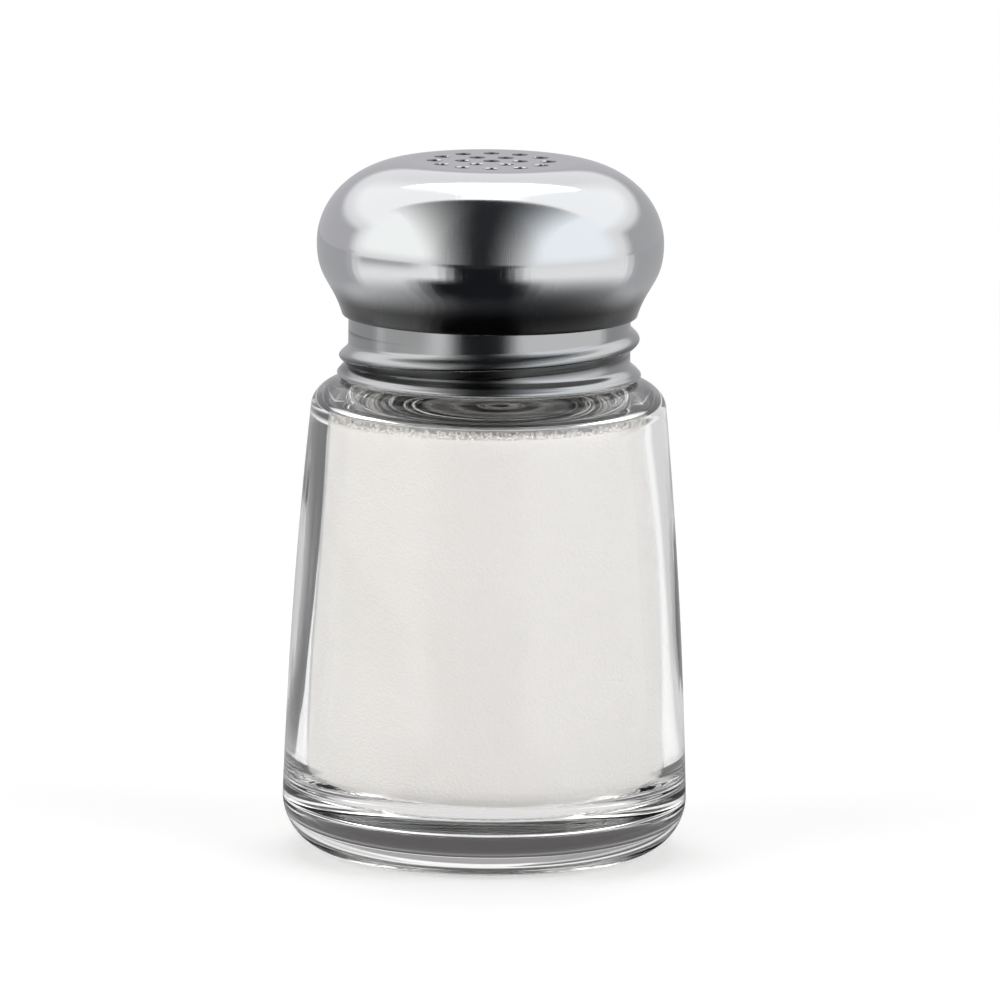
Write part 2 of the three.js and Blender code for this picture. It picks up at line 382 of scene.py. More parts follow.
# %% Boards that chrome and glass mirror
black = (0.012, 0.013, 0.015)
hang(
    (
        ("left_card", -104, -26, -4, 92, 0.75, (1.3, 1.31, 1.29), 0.2, 0.2),
        ("right_card", 20, 100, -8, 88, 0.75, (1.18, 1.23, 1.28), 0.22, 0.25),
        ("left_high_card", -165, -50, 24, 84, 0.74, (1.26, 1.26, 1.27), 0.2, 0.2),
        ("right_high_card", 55, 165, 24, 84, 0.74, (1.26, 1.27, 1.28), 0.2, 0.2),
        ("left_curtain", -98, -200, -12, 24, 0.85, (0.56, 0.55, 0.58), 0.2, 0.12),
        ("right_curtain", 98, 200, -12, 24, 0.86, (0.5, 0.5, 0.51), 0.2, 0.12),
    ),
    through=False,
)
board("front_flag", arch(-6.5, 0.292, -20, 97, 0.39, 1.4), (0.026, 0.028, 0.031), 0.48, 0.03)
lay(
    (
        ("front_floor_flag", -40, 27, 0, 0.7, -0.3 * floor_gap, 12, black, 0.1, 0.3),
        ("back_floor_flag", 96, 264, 0.06, 1.6, -0.45 * floor_gap, 24, (0.48, 0.48, 0.49), 0.05, 0.1),
        ("left_floor_flag", -110, -40, 0.2, 0.7, -0.45 * floor_gap, 12, (0.5, 0.5, 0.5), 0.5, 0.3),
        ("near_floor_flag", -68, 44, 0, 0.19, -0.2 * floor_gap, 12, black, 0.4, 0.3),
    ),
    through=False,
)
floor_disc("under_flag", 0.02, -0.012, 0.2, black, -0.6 * floor_gap)
print("boards that are mirrored:", len(boards))

# %% [markdown]
# Through the foot of the jar one sees the floor behind it, bent into rings. So the flags for the foot lie
# on the floor round its heel, and a pale card lies under it.

# %% Boards seen only through glass
hang(
    (
        ("left_fill", -110, 8, -2, 84, 0.7, (2.36, 2.33, 2.28), 0.35, 0.3),
        ("right_fill", -8, 110, -2, 84, 0.69, (2.28, 2.26, 2.29), 0.35, 0.3),
        ("back_high_flag", 150, 210, 34, 78, 0.66, (0.02, 0.02, 0.018), 0.12, 0.15),
        ("left_side_flag", 240, 278, 18, 80, 0.62, (0.05, 0.05, 0.05), 0.15, 0.15),
        ("right_side_flag", 82, 120, 18, 80, 0.62, (0.05, 0.05, 0.05), 0.15, 0.15),
        ("left_back_fill", 200, 250, 26, 88, 0.68, (6.4, 6.3, 6.15), 0.2, 0.3),
        ("right_back_fill", 110, 160, 26, 88, 0.68, (6.4, 6.3, 6.15), 0.2, 0.3),
        ("back_bar", 92, 268, 0, 24, 0.8, (0.1, 0.095, 0.1), 0.2, 0.1),
    ),
    through=True,
)
heel_near = 22.5 * mm
heel_far = 56 * mm
lay(
    (
        ("left_back_flag", -130, -176, 0.03, 1.5, 0.3 * mm, 12, (0.15, 0.15, 0.155), 0.04, 0.1),
        ("right_back_flag", 138, 170, 0.03, 1.5, 0.3 * mm, 12, (0.7, 0.7, 0.7), 0.04, 0.2),
        ("heel_flag", 154, 206, heel_near, heel_far, 0.2 * mm, 12, (0.4, 0.39, 0.4), 0.15, 0.1),
        ("left_heel_flag", 198, 264, heel_near, heel_far, 0.18 * mm, 12, (0.08, 0.078, 0.08), 0.1, 0.1),
        ("right_heel_flag", 96, 162, heel_near, heel_far, 0.18 * mm, 12, (0.1, 0.1, 0.1), 0.1, 0.1),
        ("foot_card", 0, 360, 0, 21.5 * mm, -0.15 * floor_gap, 48, (0.8, 0.785, 0.785), 0.1, 0.001),
    ),
    through=True,
)
print("boards in all:", len(boards))

# %% [markdown]
# ## Spinning an outline
#
# A lathe shape could be made with the Screw or Spin tool, but this shaker needs outlines whose radius
# changes with the angle, for the screw thread and for small unevenness in the glass. So the helper below
# builds the rings itself and lets a function move each point. An outline runs anticlockwise, with the
# radius to the right and the height up, which leaves the faces pointing out of the material.

# %% Turned shapes
sharp_angle = math.radians(40)


def arc(centre_radius, centre_height, across, up, start, end, steps):
    """Part of an ellipse as (radius, height) points, between two angles in degrees."""
    angles = [math.radians(start + (end - start) * i / steps) for i in range(steps + 1)]
    return [(centre_radius + across * math.cos(a), centre_height + up * math.sin(a)) for a in angles]


def line(start, end, step):
    """Points from start to end, about a step apart, without the first one."""
    count = max(1, round(math.dist(start, end) / step))
    return [
        tuple(start[k] + (end[k] - start[k]) * i / count for k in (0, 1)) for i in range(1, count + 1)
    ]


def turned(name, outline, steps, moved=None, closed=False, capped=False):
    """Spins (radius, height) points about Z. moved(radius, height, angle) may shift a point.

    A closed outline ends where it starts. A capped one gets a flat round face at both ends.
    """
    points, rows, faces = [], [], []
    for radius, level in outline:
        if radius < 1e-7:
            rows.append([len(points)] * steps)
            points.append((0, 0, level))
            continue
        rows.append(range(len(points), len(points) + steps))
        for k in range(steps):
            angle = 2 * math.pi * k / steps
            r, z = moved(radius, level, angle) if moved else (radius, level)
            points.append((r * math.cos(angle), r * math.sin(angle), z))
    pairs = list(zip(rows, rows[1:])) + ([(rows[-1], rows[0])] if closed else [])
    for low, high in pairs:
        for k in range(steps):
            n = (k + 1) % steps
            faces.append(tuple(dict.fromkeys((low[k], low[n], high[n], high[k]))))
    if capped:
        faces += [tuple(reversed(rows[0])), tuple(rows[-1])]
    mesh = bpy.data.meshes.new(name)
    mesh.from_pydata(points, [], faces)
    mesh.update()
    smooth(mesh)
    piece = bpy.data.objects.new(name, mesh)
    bpy.context.scene.collection.objects.link(piece)
    print(name, "has", len(mesh.polygons), "faces")
    return piece


def smooth(mesh):
    """Smooth shading, apart from edges that bend more than the sharp angle."""
    mesh.polygons.foreach_set("use_smooth", [True] * len(mesh.polygons))
    mesh.set_sharp_from_angle(angle=sharp_angle)


def ease(x):
    """0 below 0, 1 above 1, and a smooth step between."""
    t = min(max(x, 0.0), 1.0)
    return t * t * (3 - 2 * t)


def ridge(away, half_width):
    """A rounded ridge: 1 on its middle, 0 from half_width away."""
    if abs(away) >= half_width:
        return 0.0
    return (1 + math.cos(math.pi * away / half_width)) / 2


# %% [markdown]
# ## The screw thread
#
# The glass carries one start of a coarse right-handed thread, and the metal skirt is rolled to match. Both
# are a ridge whose height above the shoulder grows by one pitch for each turn. One function serves both:
# it says how much of the full ridge is reached at an angle and a height.

# %% Thread
thread_pitch = 4.233 * mm
thread_height = 1 * mm
thread_half_width = 1.05 * mm
thread_rise = 4.6 * mm
thread_start_turns = -0.72
thread_end_turns = 0.1
thread_fade_turns = 0.08
roll_half_width = 1.35 * mm
roll_end_turns = 0.21
roll_fade_turns = 0.125
print("turns of thread on the glass:", round(thread_end_turns - thread_start_turns, 2))


def helix_share(angle, level, half_width, start, end, fade, fades_in):
    """How much of the full ridge is reached, for a thread between two numbers of turns."""
    first = (angle if angle < math.pi else angle - 2 * math.pi) / (2 * math.pi)
    turns = first + math.ceil(start - first)
    share = 0.0
    while turns <= end:
        centre = shoulder_height + thread_rise + thread_pitch * turns
        left = min(turns - start, end - turns) if fades_in else end - turns
        share = max(share, ease(left / fade) * ridge(level - centre, half_width))
        turns += 1
    return share


# %% [markdown]
# ## The glass jar
#
# A jar like this is pressed and blown in a mould. Its outside is true to the mould, with a faint seam up
# two sides, and its inside is a little uneven. The foot is thick, hollowed underneath, and the ring that
# it stands on is stippled. The uneven inside matters: it bends what is seen through the glass just enough
# to stop it looking like a perfect render. Both walls are in one closed mesh, because Cycles has to know
# where a ray enters the glass and where it leaves it.

# %% Jar mesh
round_steps = 256
heel_steps = 20
wall_steps = 30
shoulder_steps = 16
inner_shoulder_steps = 14
lip_steps = 8
floor_steps = 12
punt_steps = 10
foot_step = 0.3 * mm
neck_step = 0.12 * mm
bore_step = 1 * mm
on_surface = mm / 100
neck_wall = 2.7 * mm
neck_foot = 0.5 * mm
lip_round = 0.9 * mm
shoulder_ledge = 4.75 * mm
shoulder_round = 3.3 * mm
body_bow = 0.38 * mm
heel_round = 6.1 * mm
foot_width = 3 * mm
punt_depth = 0.9 * mm
body_wall = 2.2 * mm
floor_thickness = 6.4 * mm
floor_round = 3.6 * mm
floor_crown = 0.5 * mm
seam_height = 0.05 * mm
seam_half_width = 0.35 * mm
seam_bearing = math.radians(12)
stipple_depth = 0.14 * mm
stipple_count = 64
uneven = 0.07 * mm

body_top_radius = neck_radius + shoulder_ledge
bore_radius = neck_radius - neck_wall
wall_top = shoulder_height - shoulder_round


def wall_radius(level):
    """The outside of the tapered wall, which bows out a little between the heel and the shoulder."""
    share = (level - heel_round) / (wall_top - heel_round)
    taper = body_radius + (body_top_radius - body_radius) * share
    return taper + 4 * body_bow * share * (1 - share)


def wall(start, end, inset, steps):
    levels = [start + (end - start) * i / steps for i in range(steps + 1)]
    return [(wall_radius(z) - inset, z) for z in levels]


def floor_outline(inset, steps):
    """The inside of the glass floor, from the axis out and round up into the wall."""
    corner_height = floor_thickness + floor_round
    corner_radius = wall_radius(corner_height) - body_wall - floor_round
    shares = [i / steps for i in range(steps)]
    flat = [(s * corner_radius, floor_thickness + floor_crown * (1 - s * s) + inset) for s in shares]
    rounded = floor_round - inset
    return flat + arc(corner_radius, corner_height, rounded, rounded, -90, 0, floor_steps)


def jar_outside():
    foot_outer = body_radius - heel_round
    foot_inner = foot_outer - foot_width
    neck_bottom = shoulder_height + neck_foot
    foot_radius = neck_radius + neck_foot
    shoulder_reach = body_top_radius - foot_radius
    shares = [i / punt_steps for i in range(punt_steps)]
    return (
        [(s * foot_inner, punt_depth * (1 - s * s)) for s in shares]
        + line((foot_inner, 0), (foot_outer, 0), foot_step)
        + arc(foot_outer, heel_round, heel_round, heel_round, -90, 0, heel_steps)[1:]
        + wall(heel_round, wall_top, 0, wall_steps)[1:]
        + arc(foot_radius, wall_top, shoulder_reach, shoulder_round, 0, 90, shoulder_steps)[1:]
        + arc(foot_radius, neck_bottom, neck_foot, neck_foot, -90, -180, 5)[1:]
        + line((neck_radius, neck_bottom), (neck_radius, rim_height - lip_round), neck_step)
        + arc(neck_radius - lip_round, rim_height - lip_round, lip_round, lip_round, 0, 90, lip_steps)[1:]
    )


def jar_inside():
    reach = body_top_radius - body_wall - bore_radius
    mouth = arc(bore_radius + lip_round, rim_height - lip_round, lip_round, lip_round, 90, 180, lip_steps)
    drop = shoulder_round - body_wall
    shoulder = arc(bore_radius, wall_top, reach, drop, 90, 0, inner_shoulder_steps)
    neck_end = (bore_radius, shoulder[0][1] + neck_foot)
    return (
        mouth
        + line(mouth[-1], neck_end, bore_step)
        + shoulder[1:]
        + wall(wall_top, floor_thickness + floor_round, body_wall, wall_steps)[1:]
        + floor_outline(0, floor_steps)[::-1][1:]
    )


def shape_glass(radius, level, angle):
    """Adds the thread, the mould seams and the stipple outside, and the unevenness inside."""
    outside = radius > wall_radius(level) - body_wall / 2
    foot_inner = body_radius - heel_round - foot_width
    if level > shoulder_height + neck_foot and radius > neck_radius - on_surface:
        share = helix_share(
            angle, level, thread_half_width, thread_start_turns, thread_end_turns, thread_fade_turns, True
        )
        return radius + thread_height * share, level
    if level < heel_round / 20 and radius > foot_inner - on_surface:
        notch = 0.5 - 0.5 * math.cos(stipple_count * angle)
        across = ridge(radius - foot_inner - foot_width / 2, foot_width / 2)
        return radius, level + stipple_depth * notch * across
    if outside and heel_round / 2 < level < wall_top:
        away = math.sin(angle - seam_bearing) * radius
        return radius + seam_height * ridge(away, seam_half_width), level
    if not outside and floor_thickness * 1.3 < level < wall_top:
        wave = math.sin(3 * angle + 90 * level) + math.sin(5 * angle - 160 * level + 1) / 2
        return radius + uneven * wave, level
    return radius, level


jar = turned("glass_jar_body", jar_outside() + jar_inside(), round_steps, shape_glass)

# %% [markdown]
# Clear glass is a Principled BSDF with full transmission and an index of 1.5. Its roughness stays near
# zero, but not at it. A bump of long soft waves gives the drawn look of moulded glass in its highlights.

# %% Glass
def bumpy_surface(material, look, height, strength, distance, invert=False):
    """Ends a material with a Principled BSDF that has this look and a bump."""
    tree = material.node_tree
    relief = {"Strength": strength, "Distance": distance, "Height": height}
    bump = add_node(tree, "ShaderNodeBump", relief, invert=invert)
    surface = add_node(tree, "ShaderNodeBsdfPrincipled", {**look, "Normal": bump.outputs[0]})
    add_node(tree, "ShaderNodeOutputMaterial", {"Surface": surface.outputs[0]})
    print(material.name, "has", len(tree.nodes), "nodes")


glass = new_material("clear_glass")
tree = glass.node_tree
place = add_node(tree, "ShaderNodeTexCoord").outputs["Object"]
drawn = {"Vector": place, "Scale": 140.0, "Detail": 1.0, "Roughness": 0.4}
waves = add_node(tree, "ShaderNodeTexNoise", drawn).outputs[0]
clear = {
    "Base Color": (0.99, 0.994, 0.988, 1),
    "Roughness": 0.015,
    "IOR": 1.5,
    "Transmission Weight": 1.0,
}
bumpy_surface(glass, clear, waves, 0.25, 0.05 * mm)
jar.data.materials.append(glass)

# %% [markdown]
# ## The salt
#
# Table salt is a heap of tiny clear cubes that scatter nearly all light, so it reads as a matt, faintly
# warm white. The fill itself is one turned solid with a slightly heaped top and a grainy skin. It stays
# a hair inside the glass, and the thin air between them is what turns the edges of the jar into dark and
# bright bands. Loose crystals lie on the top.

# %% Salt fill
salt_skin = 0.05 * mm
salt_heap = 0.5 * mm
salt_drop = 0.7 * mm
salt_top = wall_top - salt_drop
salt_edge = wall_radius(salt_top) - body_wall - fit_gap

wave_count = 6
waves_round = (20, 90)
waves_up = (3000, 9000)

rng = np.random.default_rng(7)
grain_waves = [
    (rng.uniform(*waves_round), rng.uniform(*waves_up), rng.uniform(0, 2 * math.pi))
    for _ in range(wave_count)
]


def salt_level(share, angle):
    """Height of the heaped top at a share of the way out."""
    lean = share * math.cos(angle - 1)
    hollows = share * (1 - share) * math.cos(3 * angle)
    return salt_top + salt_heap * ((1 - share * share) / 2 + lean / 2 + hollows)


def shape_salt(radius, level, angle):
    """Heaps the top and gives the whole bed a grainy skin, which never reaches the glass."""
    waves = (math.sin(round(a) * angle + b * (level + radius) + c) for a, b, c in grain_waves)
    rough = sum(waves) / wave_count
    if level >= salt_top - on_surface:
        return radius, salt_level(radius / salt_edge, angle) + salt_skin * rough
    return radius - salt_skin * abs(rough), level


bed_floor_steps = 10
bed_wall_steps = 80
bed_top_step = 0.5 * mm
salt_sides = wall(floor_thickness + floor_round, salt_top, body_wall + fit_gap, bed_wall_steps)[1:]
salt_surface = line(salt_sides[-1], (0, salt_top), bed_top_step)
salt_outline = floor_outline(fit_gap, bed_floor_steps) + salt_sides + salt_surface
salt = turned("salt_bed", salt_outline, round_steps, shape_salt)

# %% [markdown]
# The crystals are cubes, as in table salt, each of its own size and turned its own way. Particles could
# scatter them, but one plain mesh keeps every cube on the heaped top and is handed on as one piece.

# %% Loose crystals
def crystals(name, places, smallest, largest):
    """One mesh of small cubes, each turned its own way."""
    corners = np.array([(x, y, z) for x in (-1, 1) for y in (-1, 1) for z in (-1, 1)]) / 2
    quads = [(0, 1, 3, 2), (4, 6, 7, 5), (0, 4, 5, 1), (2, 3, 7, 6), (0, 2, 6, 4), (1, 5, 7, 3)]
    points, faces = [], []
    for place in places:
        turn = np.array(Euler(rng.uniform(0, math.pi, 3)).to_matrix())
        size = rng.uniform(smallest, largest) * rng.uniform(0.75, 1.0, 3)
        first = len(points)
        points.extend((corners * size) @ turn.T + np.array(place))
        faces.extend([tuple(first + k for k in quad) for quad in quads])
    mesh = bpy.data.meshes.new(name)
    mesh.from_pydata([tuple(p) for p in points], [], faces)
    mesh.update()
    piece = bpy.data.objects.new(name, mesh)
    bpy.context.scene.collection.objects.link(piece)
    print(name, "has", len(places), "crystals")
    return piece


crystal_small = 0.16 * mm
crystal_large = 0.34 * mm
crystal_lift = 0.12
crystal_count = 2600
crystal_spread = 0.985
places = []
for _ in range(crystal_count):
    share = math.sqrt(rng.uniform(0, crystal_spread))
    angle = rng.uniform(0, 2 * math.pi)
    radius = share * salt_edge
    level = salt_level(share, angle) + rng.uniform(0, crystal_lift) * mm
    places.append((radius * math.cos(angle), radius * math.sin(angle), level))
salt_crystals = crystals("salt_crystals", places, crystal_small, crystal_large)

# %% [markdown]
# The grainy look is shared by the bed and the loose crystals, so it is a node group: small cells for the
# grains, and a slow noise for denser and looser patches. It puts out a colour and a height, and the
# Principled BSDF stays in the material.

# %% Salt material
def new_group(name, inputs, outputs):
    group = bpy.data.node_groups.new(name, "ShaderNodeTree")
    for label, value in inputs.items():
        kind = "NodeSocketColor" if isinstance(value, tuple) else "NodeSocketFloat"
        socket = group.interface.new_socket(label, in_out="INPUT", socket_type=kind)
        socket.default_value = value
    for label, kind in outputs.items():
        group.interface.new_socket(label, in_out="OUTPUT", socket_type=kind)
    return group, add_node(group, "NodeGroupInput").outputs, add_node(group, "NodeGroupOutput").inputs


grain_group, given, result = new_group(
    "salt_grain",
    {"Grain Size": 0.0003, "Light": (0.975, 0.947, 0.93, 1), "Dark": (0.93, 0.896, 0.876, 1)},
    {"Color": "NodeSocketColor", "Height": "NodeSocketFloat"},
)
place = add_node(grain_group, "ShaderNodeTexCoord").outputs["Object"]
scale = calculate(grain_group, "DIVIDE", 1.0, given["Grain Size"])
cells = add_node(grain_group, "ShaderNodeTexVoronoi", {"Vector": place, "Scale": scale}, feature="F1")
patches = add_node(grain_group, "ShaderNodeTexNoise", {"Vector": place, "Scale": 160.0, "Detail": 3.0})
share = calculate(grain_group, "MULTIPLY", cells.outputs["Distance"], patches.outputs[0])
tints = {"Factor": share, "A": given["Light"], "B": given["Dark"]}
mix = add_node(grain_group, "ShaderNodeMix", tints, data_type="RGBA")
grain_group.links.new(mix.outputs["Result"], result["Color"])
grain_group.links.new(cells.outputs["Distance"], result["Height"])


def salt_material(name, grain_size, bump_strength):
    material = new_material(name)
    size = {"Grain Size": grain_size}
    grain = add_node(material.node_tree, "ShaderNodeGroup", size, node_tree=grain_group).outputs
    matt = {"Base Color": grain["Color"], "Roughness": 0.62, "IOR": 1.54}
    bumpy_surface(material, matt, grain["Height"], bump_strength, grain_size / 2, invert=True)
    return material


salt.data.materials.append(salt_material("packed_salt", 0.3 * mm, 0.5))
salt_crystals.data.materials.append(salt_material("loose_salt", 0.6 * mm, 0.15))

# %% [markdown]
# ## The washer
#
# Between the rim of the glass and the cap lies a soft white washer with rounded edges. Hardly any of it
# shows, but it is seen through the holes and when the cap is off.

# %% Washer
washer_low, washer_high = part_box("seal_washer")
washer_width = 2.3 * mm
washer_round = 0.25 * mm
washer_inner = washer_high.x - washer_width
washer_steps = 128
edge_steps = 4
inside, outside = washer_inner + washer_round, washer_high.x - washer_round
bottom, top = washer_low.z + washer_round, washer_high.z - washer_round
corners = ((outside, bottom, -90), (outside, top, 0), (inside, top, 90), (inside, bottom, 180))
outline = []
for radius, level, start in corners:
    outline += arc(radius, level, washer_round, washer_round, start, start + 90, edge_steps)
washer = turned("soft_washer", outline, washer_steps, closed=True)

soft_plastic = new_material("soft_white_plastic")
tree = soft_plastic.node_tree
place = add_node(tree, "ShaderNodeTexCoord").outputs["Object"]
mottle = add_node(tree, "ShaderNodeTexNoise", {"Vector": place, "Scale": 900.0, "Detail": 4.0}).outputs[0]
shade = ramp(tree, mottle, 0.0, 1.0, 0.42, 0.6, "LINEAR")
soft_look = {"Base Color": (0.88, 0.88, 0.86, 1), "Roughness": shade}
bumpy_surface(soft_plastic, soft_look, mottle, 0.2, 0.05 * mm)
washer.data.materials.append(soft_plastic)

# %% [markdown]
# ## The threaded skirt
#
# The skirt is pressed from thin sheet: it turns in at the top over the washer, bulges into the bead that
# the dome hooks under, is rolled to the thread, and flares at the bottom to let the glass thread in. A
# fine folded hem keeps its lower edge from cutting. Inside and outside follow the same line, a sheet's
# thickness apart, so the rolled thread shows on both.

# %% Skirt mesh
skirt_flare = 1.1 * mm
clinch_rise = 1.2 * mm
clinch_half_width = 0.7 * mm
clinch_height = 0.5 * mm
land_width = 2.2 * mm
land_round = 0.8 * mm
hem_radius = 0.3 * mm
clinch_level = lip_height + clinch_rise
skirt_step = 0.14 * mm


def shape_skirt(radius, level, angle):
    """Adds the rolled thread, the flare at the bottom and the bead, below the rounded top."""
    if level > land_top - land_round:
        return radius, level
    roll = helix_share(
        angle, level, roll_half_width, thread_start_turns - 1, roll_end_turns, roll_fade_turns, False
    )
    flare = 1 - ease((level - skirt_bottom - skirt_flare / 2) / skirt_flare)
    clinch = clinch_height * ridge(level - clinch_level, clinch_half_width)
    return radius + thread_height * max(roll, flare) + clinch, level


hem_top = skirt_bottom + 1.7 * hem_radius
inner = skirt_radius - sheet
land_edge = inner - land_width
bend_radius, bend_height = skirt_radius - land_round, land_top - land_round
outline = (
    arc(inner + hem_radius, skirt_bottom + hem_radius, hem_radius, hem_radius, -180, 60, 12)
    + line((skirt_radius, hem_top), (skirt_radius, bend_height), skirt_step)
    + arc(bend_radius, bend_height, land_round, land_round, 0, 90, 8)[1:]
    + arc(land_edge + sheet / 2, land_top - sheet / 2, sheet / 2, sheet / 2, 90, 270, 6)
    + arc(bend_radius, bend_height, land_round - sheet, land_round - sheet, 90, 0, 6)
    + line((inner, bend_height), (inner, skirt_bottom + hem_radius), skirt_step)[:-1]
)
skirt = turned("rolled_skirt", outline, round_steps, shape_skirt, closed=True)

# %% [markdown]
# ## The dome
#
# The dome is drawn from one disc of sheet. Its outline is three curves: a flat top, a quarter of an
# ellipse down to the belly, and a soft S in to the lip that is clinched under the skirt's bead. The
# holes are punched, so a Boolean modifier cuts them, and a narrow bevel gives them the rounded edge
# that catches the light. The flat top is kept as one face, so that the holes cut cleanly. Modifiers are
# applied.

# %% Dome mesh
dome_flat_radius = 8.7 * mm
dome_crown = 9 * mm
dome_overhang = 2.85 * mm
under_shares = [(1, 0.49), (0.4, 0.48)]
hole_radius = 0.85 * mm
hole_ring_step = 3.1 * mm
hole_rings = 2
holes_per_ring = 6
hole_edge = 0.1 * mm
hole_steps = 32
drill_depth = 4 * mm
crown_steps = 40
under_steps = 28
belly_height = dome_top - dome_crown
lip_radius = dome_radius - dome_overhang


def under_curve(steps):
    """A Bezier curve from the belly down to the lip."""
    drop = belly_height - lip_height
    handles = [(lip_radius + a * dome_overhang, lip_height + b * drop) for a, b in under_shares]
    ends = [Vector((dome_radius, belly_height)), *map(Vector, handles), Vector((lip_radius, lip_height))]
    points = []
    for i in range(1, steps + 1):
        t = i / steps
        weights = ((1 - t) ** 3, 3 * (1 - t) ** 2 * t, 3 * (1 - t) * t**2, t**3)
        spot = sum((w * p for w, p in zip(weights, ends)), Vector((0, 0)))
        points.append((spot.x, spot.y))
    return points


def sheet_inside(outer, thickness):
    """The same line moved square to itself, into the dome."""
    inner = []
    for i, (radius, level) in enumerate(outer):
        before, after = outer[max(i - 1, 0)], outer[min(i + 1, len(outer) - 1)]
        length = math.dist(before, after)
        along = ((after[0] - before[0]) / length, (after[1] - before[1]) / length)
        inner.append((max(0.0, radius + along[1] * thickness), level - along[0] * thickness))
    return inner


crown_reach = dome_radius - dome_flat_radius
crown_line = arc(dome_flat_radius, belly_height, crown_reach, dome_crown, 90, 0, crown_steps)
dome_outer = crown_line + under_curve(under_steps)
dome_inner = sheet_inside(dome_outer, sheet)
dome_inner[0] = (dome_flat_radius, dome_top - sheet)
dome = turned("mushroom_dome", dome_inner + dome_outer[::-1], round_steps, capped=True)

centres = [(0.0, 0.0)]
for ring_number in range(1, hole_rings + 1):
    count = holes_per_ring * ring_number
    for i in range(count):
        angle = 2 * math.pi * i / count
        reach = hole_ring_step * ring_number
        centres.append((reach * math.cos(angle), reach * math.sin(angle)))

drills = bmesh.new()
for x, y in centres:
    bmesh.ops.create_cone(
        drills,
        cap_ends=True,
        segments=hole_steps,
        radius1=hole_radius,
        radius2=hole_radius,
        depth=drill_depth,
        matrix=Matrix.Translation((x, y, dome_top)),
    )
drill_mesh = bpy.data.meshes.new("drills")
drills.to_mesh(drill_mesh)
drills.free()
drill = bpy.data.objects.new("drills", drill_mesh)
bpy.context.scene.collection.objects.link(drill)


def apply_modifiers(piece):
    """Turns what the modifiers show into the piece's own mesh."""
    bpy.context.view_layer.update()
    finished = bpy.data.meshes.new_from_object(piece.evaluated_get(bpy.context.evaluated_depsgraph_get()))
    piece.modifiers.clear()
    piece.data = finished


punch = dome.modifiers.new("punch", "BOOLEAN")
punch.operation = "DIFFERENCE"
punch.solver = "EXACT"
punch.object = drill
rounding = dome.modifiers.new("rounding", "BEVEL")
rounding.width = hole_edge
rounding.segments = 2
rounding.limit_method = "ANGLE"
rounding.angle_limit = math.radians(60)
apply_modifiers(dome)
smooth(dome.data)
evening = dome.modifiers.new("evening", "WEIGHTED_NORMAL")
evening.keep_sharp = True
apply_modifiers(dome)
bpy.data.objects.remove(drill)
print("holes:", len(centres), "and faces:", len(dome.data.polygons))

# %% [markdown]
# ## Chrome that has been handled
#
# Chrome plate is a metal with a low roughness. What sets a used cap apart is thin: finger smears that
# blur the reflection in patches, and hairline scratches. Both are in one node group, used on the dome
# and the skirt with their own amounts. Scratches are noise stretched thin in three directions.

# %% Chrome
wear_group, given, result = new_group(
    "handling_wear",
    {"Clean Roughness": 0.06, "Smear": 0.08, "Scratch": 1.0},
    {"Roughness": "NodeSocketFloat", "Height": "NodeSocketFloat"},
)
place = add_node(wear_group, "ShaderNodeTexCoord").outputs["Object"]
cloudy = {"Vector": place, "Scale": 110.0, "Detail": 5.0, "Distortion": 0.6}
smears = add_node(wear_group, "ShaderNodeTexNoise", cloudy).outputs[0]
smeared = ramp(wear_group, smears, 0.45, 0.75, kind="LINEAR")
roughness = calculate(wear_group, "MULTIPLY_ADD", smeared, given["Smear"], given["Clean Roughness"])
wear_group.links.new(roughness, result["Roughness"])

scratch_turns = ((0.3, 0.1, 0.4), (1.2, 0.5, 2.1), (0.2, 1.4, 1.1))
scratch_stretch = (9000, 240, 240)
hairlines = 0.0
for turn in scratch_turns:
    stretch = {"Vector": place, "Rotation": turn, "Scale": scratch_stretch}
    stretched = add_node(wear_group, "ShaderNodeMapping", stretch).outputs[0]
    fine = {"Vector": stretched, "Scale": 1.0, "Detail": 2.0}
    noise = add_node(wear_group, "ShaderNodeTexNoise", fine).outputs[0]
    mask = ramp(wear_group, noise, 0.66, 0.72, kind="LINEAR")
    hairlines = calculate(wear_group, "MAXIMUM", hairlines, mask)
scratches = calculate(wear_group, "MULTIPLY", hairlines, given["Scratch"])
wear_group.links.new(scratches, result["Height"])
print(wear_group.name, "has", len(wear_group.nodes), "nodes")

# %% [markdown]
# Painted shade: the chrome's colour is darkened where shade falls, under the lip of the dome and on
# the underside of the rolled thread. Both masks follow the shape. The first goes by height. The second
# goes by the height above the helix: the angle round the axis, as a share of a turn times the pitch, is
# taken off the height, and what is left is folded into one pitch.

# %% Painted shade masks
# Painted shade under the lip of the dome: the colour darkens below a height.
lip_group, given, result = new_group(
    "lip_shade_paint", {"Full Below": 0.06, "None Above": 0.063}, {"Mask": "NodeSocketFloat"}
)
fade = ramp(lip_group, axes_in(lip_group, "Object")["Z"], given["Full Below"], given["None Above"], 1.0, 0.0)
lip_group.links.new(fade, result["Mask"])

# Painted shade in the groove under each turn of the rolled thread.
thread_group, given, result = new_group(
    "thread_shade_paint", {"Start Height": 0.057, "Pitch": 0.0042, "Top": 0.0575}, {"Mask": "NodeSocketFloat"}
)
helix_shift = 0.12
axes = axes_in(thread_group, "Object")
angle = calculate(thread_group, "ARCTAN2", axes["Y"], axes["X"])
turns = calculate(thread_group, "DIVIDE", angle, 2 * math.pi)
above = calculate(thread_group, "SUBTRACT", axes["Z"], given["Start Height"])
pitches = calculate(thread_group, "DIVIDE", above, given["Pitch"])
from_helix = calculate(thread_group, "SUBTRACT", pitches, turns)
folded = calculate(thread_group, "FRACT", calculate(thread_group, "SUBTRACT", from_helix, helix_shift))
rise = ramp(thread_group, folded, 0.4, 0.6)
fall = ramp(thread_group, folded, 0.82, 0.98, 1.0, 0.0)
below_top = calculate(thread_group, "LESS_THAN", axes["Z"], given["Top"])
underside = calculate(thread_group, "MULTIPLY", rise, fall)
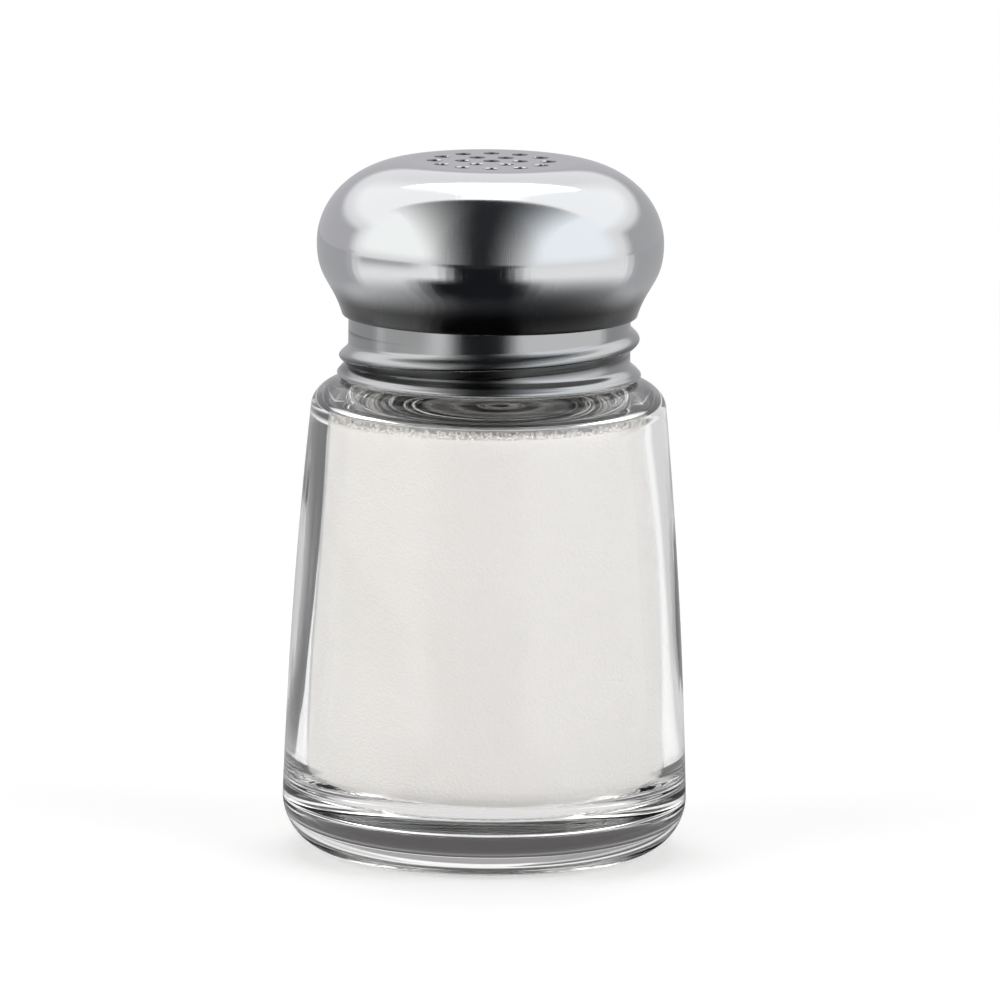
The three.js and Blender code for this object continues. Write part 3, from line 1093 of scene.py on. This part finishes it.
mask = calculate(thread_group, "MULTIPLY", underside, below_top)
thread_group.links.new(mask, result["Mask"])
print(thread_group.name, "has", len(thread_group.nodes), "nodes")

# %% [markdown]
# The rolled skirt gets a darker chrome colour than the dome. The inside of the cap gets a dull, dark
# metal, as painted shade inside the cap. Each face gets its metal by the way it looks, so one mesh can
# carry both.

# %% Chrome materials
def chrome_material(name, colour, clean, smear, scratch, shade_paint=None):
    """A metal with its own wear. The painted shade, if any, is a mask group with the values of its sockets.
    """
    material = new_material(name)
    tree = material.node_tree
    amounts = {"Clean Roughness": clean, "Smear": smear, "Scratch": scratch}
    wear = add_node(tree, "ShaderNodeGroup", amounts, node_tree=wear_group).outputs
    base = colour
    if shade_paint:
        group, values = shade_paint
        mask = add_node(tree, "ShaderNodeGroup", values, node_tree=group).outputs["Mask"]
        tints = {"Factor": mask, "A": colour, "B": shade_paint_colour}
        base = add_node(tree, "ShaderNodeMix", tints, data_type="RGBA").outputs["Result"]
    metal = {"Base Color": base, "Metallic": 1.0, "Roughness": wear["Roughness"]}
    bumpy_surface(material, metal, wear["Height"], 0.08, 0.02 * mm, invert=True)
    return material


def faces_inwards(face):
    """Whether a face of the cap looks towards the axis or down from the roof of the dome."""
    out = Vector((face.center.x, face.center.y, 0))
    return face.normal.dot(out) < 0 or face.center.z > belly_height and face.normal.z < 0


def plate(piece, outside, inside):
    """Chrome on the faces that look out, and the other material on those that look in."""
    piece.data.materials.clear()
    piece.data.materials.append(outside)
    piece.data.materials.append(inside)
    for face in piece.data.polygons:
        face.material_index = int(faces_inwards(face))


# The colour of the painted shade under the lip and in the thread.
shade_paint_colour = (0.12, 0.12, 0.12, 1)
# Heights over which the painted shade under the dome's lip fades out.
lip_full_below = lip_height + 1.7 * mm
lip_none_above = lip_height + 4.3 * mm
thread_start = shoulder_height + thread_rise
thread_shade_paint_top = lip_height - 1.6 * mm
lip_shade_paint = (lip_group, {"Full Below": lip_full_below, "None Above": lip_none_above})
thread_shade_paint = (thread_group, {"Start Height": thread_start, "Pitch": thread_pitch, "Top": thread_shade_paint_top})

# The inside of the cap is a dull, dark metal, as painted shade.
# Columns: name, colour, clean roughness, smears, scratches, painted shade.
cap_inside_shade = chrome_material("cap_inside_shade", (0.24, 0.235, 0.23, 1), 0.38, 0.1, 0.4)
dome_chrome = chrome_material("dome_chrome", (0.66, 0.67, 0.68, 1), 0.07, 0.06, 1.0, lip_shade_paint)
skirt_chrome = chrome_material("skirt_chrome", (0.45, 0.455, 0.46, 1), 0.12, 0.08, 0.6, thread_shade_paint)
plate(dome, dome_chrome, cap_inside_shade)
plate(skirt, skirt_chrome, cap_inside_shade)

# %% [markdown]
# ## What moves with what
#
# The jar and the salt are one body, the washer another, and the skirt and dome turn together as the cap.
# Each fine piece stands in for its CAD node.

# %% Bodies
for piece, node, body, slot in (
    (jar, "glass_jar", "jar", "clear_glass"),
    (salt, "salt_fill", "jar", "salt"),
    (washer, "seal_washer", "washer", "white_plastic"),
    (skirt, "threaded_skirt", "cap", "chromed_steel"),
    (dome, "perforated_dome", "cap", "chromed_steel"),
):
    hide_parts(node)
    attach(piece, body)
    print(piece.name, "stands in for", node, "and moves with", body)
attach(salt_crystals, "jar")
